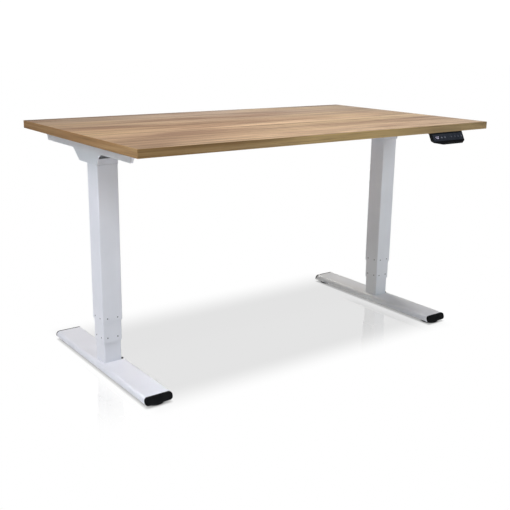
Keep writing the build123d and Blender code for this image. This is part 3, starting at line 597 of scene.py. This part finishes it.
def circuitBoard(look):
    r = Recipe("circuitBoard")
    tracks = r.add("ShaderNodeTexBrick", Vector=r.stretch(look["tracks"]), Scale=1.0, Color1=look["mask"][0],
                   Color2=look["mask"][1], Mortar=look["track"], Mortar_Size=look["trackWidth"])
    r.bump(tracks.outputs["Fac"], *look["relief"])
    return r.finish(tracks.outputs["Color"], look["rough"])


finishes = {
    "oak_laminate": oakTop(oakLook),
    "chipboard": chipboard(chipLook),
    "backing_sheet": backingSheet(sheetLook),
    "white_powder_coat": powderCoat("whitePowderCoat", shade(233, 235, 242), shade(228, 230, 237),
                                    paintLook),
    "zinc_steel": steel("zincSteel", shade(196, 198, 202), 0.32, 2, steelLook),
    "black_steel": moulded("blackScrews", shade(34, 35, 38), shade(22, 23, 26), 0.36),
    "plain_steel": steel("plainSteel", shade(168, 169, 172), 0.36, 0, steelLook),
    "acetal": moulded("naturalAcetal", shade(236, 235, 228), shade(226, 225, 216), 0.35,
                      spark=900.0, relief=0.15),
    "bush_plastic": moulded("bushPlastic", shade(96, 98, 102), shade(82, 84, 88), 0.5),
    "black_plastic": moulded("blackPlastic", shade(20, 21, 24), shade(12, 13, 15), 0.42, gloss=0.12),
    "cast_aluminium": casting(castLook),
    "motor_steel": steel("motorSteel", shade(188, 190, 194), 0.3, 0, steelLook),
    "case_plastic": moulded("casePlastic", shade(40, 41, 44), shade(28, 29, 32), 0.5,
                            spark=1100.0, relief=0.5),
    "plate_steel": powderCoat("blackPlate", shade(42, 43, 46), shade(32, 33, 36), paintLook),
    "circuit_board": circuitBoard(boardLook),
    "handset_plastic": moulded("handsetPlastic", shade(18, 19, 23), shade(12, 13, 16), 0.34),
    "panel_film": moulded("panelFilm", shade(54, 58, 67), shade(44, 47, 56), 0.26,
                          spark=1800.0, relief=0.12),
    "display_glass": moulded("displayGlass", shade(44, 42, 56), shade(36, 35, 48), 0.12,
                             spark=400.0, relief=0.02, gloss=0.5),
    "key_plastic": moulded("keyPlastic", shade(60, 63, 73), shade(51, 54, 64), 0.3,
                           spark=1800.0, relief=0.12),
}
screwCentre = [(a + b) / 2 for a, b in zip(*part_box("right_drive_screw"))]
driveScrewSteel = screwSteel("driveScrewSteel", shade(176, 177, 180), screwCentre, screwLook)
spindleSteel = screwSteel("spindleSteel", shade(150, 151, 155), screwCentre, screwLook)
# the long bands carry painted light along their length
oakBandLong = oakBand("oakBandLong", bandLook, 0, bandLook["longToneAndLight"])
oakBandShort = oakBand("oakBandShort", bandLook, 1, bandLook["shortTones"])
ownFinishes = {       # nodes that differ from the rest of their material
    "left_drive_screw": driveScrewSteel, "right_drive_screw": driveScrewSteel,
    "left_spindle": spindleSteel, "right_spindle": spindleSteel,
    "edge_band_front": oakBandLong, "edge_band_rear": oakBandLong,
    "edge_band_left": oakBandShort, "edge_band_right": oakBandShort,
}
slotOf = {part["node"]: part["material_slot"] for part in frame["record"]["subparts"]}
for name, node in nodes.items():
    finish = ownFinishes[name] if name in ownFinishes else finishes[slotOf[name]]
    for materialSlot in node.material_slots:
        materialSlot.material = finish
print("finishes on:", len(nodes), "nodes")


# marks on the handset: height on the display, arrows, numbers and a ring on the keys

handsetLook = {
    "height": f"{cadBox[1][2] * 100:.1f}",          # the display shows the top's height in centimetres
    "digit": (0.0036, 0.0074),      # width and height between the middles of the segments
    "digitPitch": 0.0060,
    "segment": 0.0009,      # width of a lit segment, of which the next three are shares
    "tip": 0.42,            # cut off each corner
    "gap": 0.7,             # left between two segments
    "dot": 0.6,             # radius of the point
    "slant": 0.10,
    "ink": 0.00006,         # thickness of the prints
    "arrow": 0.0034,        # centre to point
    "arrowSquash": 0.8,
    "number": 0.0058,
    "ring": (0.0021, 0.0005),       # radius and width
    "lit": shade(226, 220, 244),
    "litGlow": 0.75,
    "print": shade(160, 162, 172),
    # painted glow: the printed marks on the keys shine a little, though nothing lights them
    "printPaintedGlow": 0.08,
    "flush": 1e-5,          # points this near the outermost one lie on the face
}
segmentsOf = {      # top, upper left, upper right, middle, lower left, lower right, foot
    "0": "1110111", "1": "0010010", "2": "1011101", "3": "1011011", "4": "0111010",
    "5": "1101011", "6": "1101111", "7": "1010010", "8": "1111111", "9": "1111011",
}
joints = {joint["child"]: joint for joint in frame["record"]["behaviour"]["joints"]}
outward = -Vector(joints["up_key_body"]["axis"]).normalized()       # keys are pressed the other way
upSlope = Vector((1, 0, 0)).cross(-outward).normalized()


def faceCentre(name, flush):        # middle of a key's or window's outer face
    corners = [v.co for v in nodes[name].data.vertices]
    reach = max(v.dot(outward) for v in corners)
    spots = [v for v in corners if reach - v.dot(outward) < flush]
    x = (min(v.x for v in spots) + max(v.x for v in spots)) / 2
    up = (min(v.dot(upSlope) for v in spots) + max(v.dot(upSlope) for v in spots)) / 2
    return Vector((x, 0, 0)) + upSlope * up + outward * reach


def layOn(bm, face, look):      # from flat on the XY plane to flat on the sloping face
    turn = Matrix((Vector((1, 0, 0)), upSlope, outward)).transposed().to_4x4()
    place = Matrix.Translation(faceCentre(face, look["flush"]))
    bmesh.ops.transform(bm, matrix=place @ turn, verts=bm.verts)


def addPiece(name, bm, body, finish):
    bmesh.ops.recalc_face_normals(bm, faces=bm.faces)
    mesh = bpy.data.meshes.new(name)
    bm.to_mesh(mesh)
    bm.free()
    mesh.materials.append(finish)
    piece = bpy.data.objects.new(name, mesh)
    bpy.context.collection.objects.link(piece)
    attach(piece, body)


def printOnKey(bm, key, look, finish):
    layOn(bm, key, look)
    addPiece(key + "_mark", bm, key + "_body", finish)


def thicken(bm, faces, depth):
    grown = bmesh.ops.extrude_face_region(bm, geom=faces)["geom"]
    bmesh.ops.translate(bm, vec=(0, 0, depth), verts=[g for g in grown if isinstance(g, bmesh.types.BMVert)])


def segment(bm, look, place, length, upright):
    made = bmesh.ops.create_cube(bm, size=1.0)["verts"]
    size = (look["segment"], length, look["ink"]) if upright else (length, look["segment"], look["ink"])
    bmesh.ops.scale(bm, vec=size, verts=made)
    corners = [e for e in bm.edges if e.verts[0] in made
               and abs(e.verts[0].co.z - e.verts[1].co.z) > look["ink"] / 2]
    cut = bmesh.ops.bevel(bm, geom=corners, offset=look["segment"] * look["tip"], offset_type="OFFSET",
                          segments=1, profile=0.5, affect="EDGES", material=-1)["verts"]
    made = cut + [v for v in made if v.is_valid and v not in cut]
    bmesh.ops.translate(bm, vec=(*place, look["ink"] / 2), verts=made)


def heightDigits(look, finish):
    bm = bmesh.new()
    width, height = look["digit"]
    half, quarter = width / 2, height / 4
    bars = [(0, 2 * quarter, False), (-half, quarter, True), (half, quarter, True), (0, 0, False),
            (-half, -quarter, True), (half, -quarter, True), (0, -2 * quarter, False)]
    figures = look["height"].replace(".", "")
    start = -look["digitPitch"] * (len(figures) - 1) / 2
    for i, figure in enumerate(figures):
        for (x, y, upright), on in zip(bars, segmentsOf[figure]):
            if on == "1":
                length = (2 * quarter if upright else width) - look["segment"] * look["gap"]
                segment(bm, look, (start + i * look["digitPitch"] + x, y), length, upright)
    dotAt = start + (look["height"].index(".") - 0.5) * look["digitPitch"]
    radius = look["segment"] * look["dot"]
    dot = bmesh.ops.create_circle(bm, cap_ends=True, segments=12, radius=radius)["verts"]
    bmesh.ops.translate(bm, vec=(dotAt, -2 * quarter, 0), verts=dot)
    thicken(bm, list(dot[0].link_faces), look["ink"])
    lean = Matrix.Identity(4)
    lean[0][1] = look["slant"]
    bmesh.ops.transform(bm, matrix=lean, verts=bm.verts)
    layOn(bm, "display_window", look)
    addPiece("display_digits", bm, "top", finish)


def arrowMark(look, key, down, finish):
    bm = bmesh.new()
    made = bmesh.ops.create_circle(bm, cap_ends=True, segments=3, radius=look["arrow"])["verts"]
    bmesh.ops.scale(bm, vec=(1.0, look["arrowSquash"], 1.0), verts=made)
    if down:
        bmesh.ops.rotate(bm, cent=(0, 0, 0), matrix=Matrix.Rotation(math.pi, 3, "Z"), verts=made)
    thicken(bm, list(bm.faces), look["ink"])
    printOnKey(bm, key, look, finish)


def numberMark(look, key, figure, finish):
    text = bpy.data.curves.new(key + "Figure", "FONT")
    text.body = figure
    text.size = look["number"]
    text.align_x, text.align_y = "CENTER", "CENTER"
    text.extrude = look["ink"] / 2
    holder = bpy.data.objects.new(key + "Figure", text)
    bpy.context.collection.objects.link(holder)
    bpy.context.view_layer.update()
    drawn = bpy.data.meshes.new_from_object(holder)
    bm = bmesh.new()
    bm.from_mesh(drawn)
    bpy.data.objects.remove(holder)
    bpy.data.curves.remove(text)
    bpy.data.meshes.remove(drawn)
    bmesh.ops.remove_doubles(bm, verts=bm.verts, dist=1e-7)
    bmesh.ops.translate(bm, vec=(0, 0, look["ink"] / 2), verts=bm.verts)
    printOnKey(bm, key, look, finish)


def ringMark(look, key, finish):
    bm = bmesh.new()
    radius, width = look["ring"]
    bmesh.ops.create_circle(bm, cap_ends=True, segments=32, radius=radius)
    rim = bmesh.ops.inset_individual(bm, faces=list(bm.faces), thickness=width, use_even_offset=True)["faces"]
    bmesh.ops.delete(bm, geom=[f for f in bm.faces if f not in rim], context="FACES")
    thicken(bm, list(bm.faces), look["ink"])
    printOnKey(bm, key, look, finish)


inkLook = {
    "wear": {"scale": (900, 900, 900), "rough": 0.6},
    "dimShare": 0.85,
    "dimFrom": (0.3, 0.6),
    "rough": (0.4, 0.6),
}


def printInk(name, tone, glow, look):
    r = Recipe(name)
    wear = r.noise(**look["wear"])
    tones = (dim(tone, look["dimShare"]), tone)
    colour = r.ramp(wear, list(zip(look["dimFrom"], tones)))
    return r.finish(colour, r.range(wear, *look["rough"]), Emission_Color=tone, Emission_Strength=glow)


# the key prints get a painted glow; the display's segments are lit
keyInk = printInk("keyInk", handsetLook["print"], handsetLook["printPaintedGlow"], inkLook)
litInk = printInk("litSegments", handsetLook["lit"], handsetLook["litGlow"], inkLook)
heightDigits(handsetLook, litInk)
arrowMark(handsetLook, "up_key", False, keyInk)
arrowMark(handsetLook, "down_key", True, keyInk)
for key, figure in (("memory_key_one", "1"), ("memory_key_two", "2"), ("memory_key_three", "3")):
    numberMark(handsetLook, key, figure, keyInk)
ringMark(handsetLook, "store_key", keyInk)
print("handset marked")
